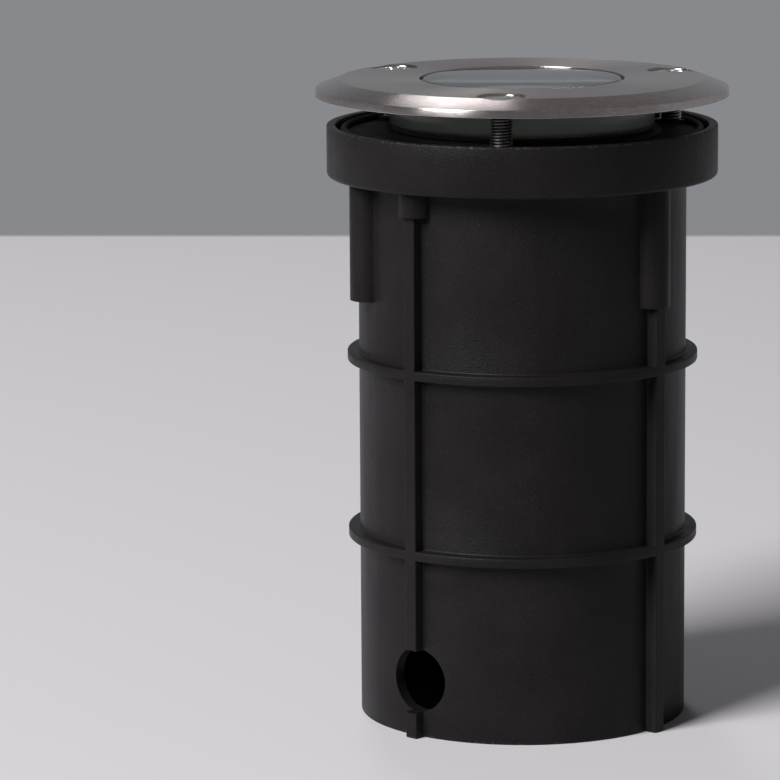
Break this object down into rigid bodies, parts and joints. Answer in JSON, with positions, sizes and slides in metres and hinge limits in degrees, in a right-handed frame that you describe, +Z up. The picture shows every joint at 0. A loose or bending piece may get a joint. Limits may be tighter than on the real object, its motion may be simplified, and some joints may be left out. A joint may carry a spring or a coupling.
{
  "type": "recessed ground spotlight",
  "caption": "Recessed ground spotlight: moulded sleeve with collar and ribs, black can with a twist-lock lamp, thick glass and a brushed steel trim ring held by countersunk screws.",
  "frame": {"origin": "centre of the sleeve's open foot, on the surface that it stands on", "axes": "+Z up along the sleeve's axis, -Y the pictured front, +X to the right of it"},
  "size_m": [0.11, 0.11, 0.1712],
  "materials": {
    "moulded_black": "matte, fine grain",
    "cast_black": "glossy black coating",
    "stainless": "turned, brushed round the axis",
    "screw_steel": "bright",
    "plated_steel": "zinc plated",
    "clear_glass": "polished faces, ground edge",
    "black_silicone": "matte",
    "lamp_white": "satin white",
    "lens_clear": "clear, patterned",
    "led_board": "white solder resist",
    "brass": "bare",
    "steatite": "unglazed",
    "terminal_white": "moulded",
    "red_silicone": "silicone insulation",
    "earth_green": "silicone insulation",
    "gland_nylon": "moulded nylon"
  },
  "bodies": {
    "sleeve": {"sleeve": "moulded_black"},
    "lamp_unit": {"housing": "cast_black", "lower_gasket": "black_silicone", "lampholder": "steatite", "holder_contacts": "brass", "holder_bracket": "plated_steel", "holder_screws": "plated_steel", "bracket_screws": "plated_steel", "terminal_block": "terminal_white", "terminal_screws": "brass", "block_screw": "plated_steel", "lamp_leads": "red_silicone", "earth_lead": "earth_green", "earth_screw": "plated_steel", "gland_body": "gland_nylon", "gland_washer": "black_silicone", "gland_locknut": "gland_nylon", "gland_seal": "black_silicone"},
    "trim": {"trim_ring": "stainless", "glass": "clear_glass", "upper_gasket": "black_silicone"},
    "screw_front": {"screw_front": "screw_steel"},
    "screw_right": {"screw_right": "screw_steel"},
    "screw_left": {"screw_left": "screw_steel"},
    "lamp": {"lamp_shell": "lamp_white", "lamp_lens": "lens_clear", "led_board": "led_board", "lamp_base": "lamp_white", "lamp_pins": "brass"},
    "gland_nut": {"gland_nut": "gland_nylon"}
  },
  "joints": [
    {"name": "unit_lift", "type": "slide", "parent": "sleeve", "child": "lamp_unit", "axis": [0, 0, 1], "range_m": [0, 0.13]},
    {"name": "trim_lift", "type": "slide", "parent": "lamp_unit", "child": "trim", "axis": [0, 0, 1], "range_m": [0, 0.04]},
    {"name": "lamp_twist", "type": "hinge", "parent": "lamp_unit", "child": "lamp", "pos_m": [0, 0, 0.095], "axis": [0, 0, 1], "range_deg": [0, 20]},
    {"name": "gland_nut_turn", "type": "hinge", "parent": "lamp_unit", "child": "gland_nut", "pos_m": [0, 0, 0.045], "axis": [0, 0, 1], "continuous": true},
    {"name": "screw_front_turn", "type": "hinge", "parent": "trim", "child": "screw_front", "pos_m": [-0.00528, -0.04298, 0.156], "axis": [0, 0, 1], "continuous": true},
    {"name": "screw_right_turn", "type": "hinge", "parent": "trim", "child": "screw_right", "pos_m": [0.03986, 0.01692, 0.156], "axis": [0, 0, 1], "continuous": true},
    {"name": "screw_left_turn", "type": "hinge", "parent": "trim", "child": "screw_left", "pos_m": [-0.03458, 0.02606, 0.156], "axis": [0, 0, 1], "continuous": true}
  ]
}
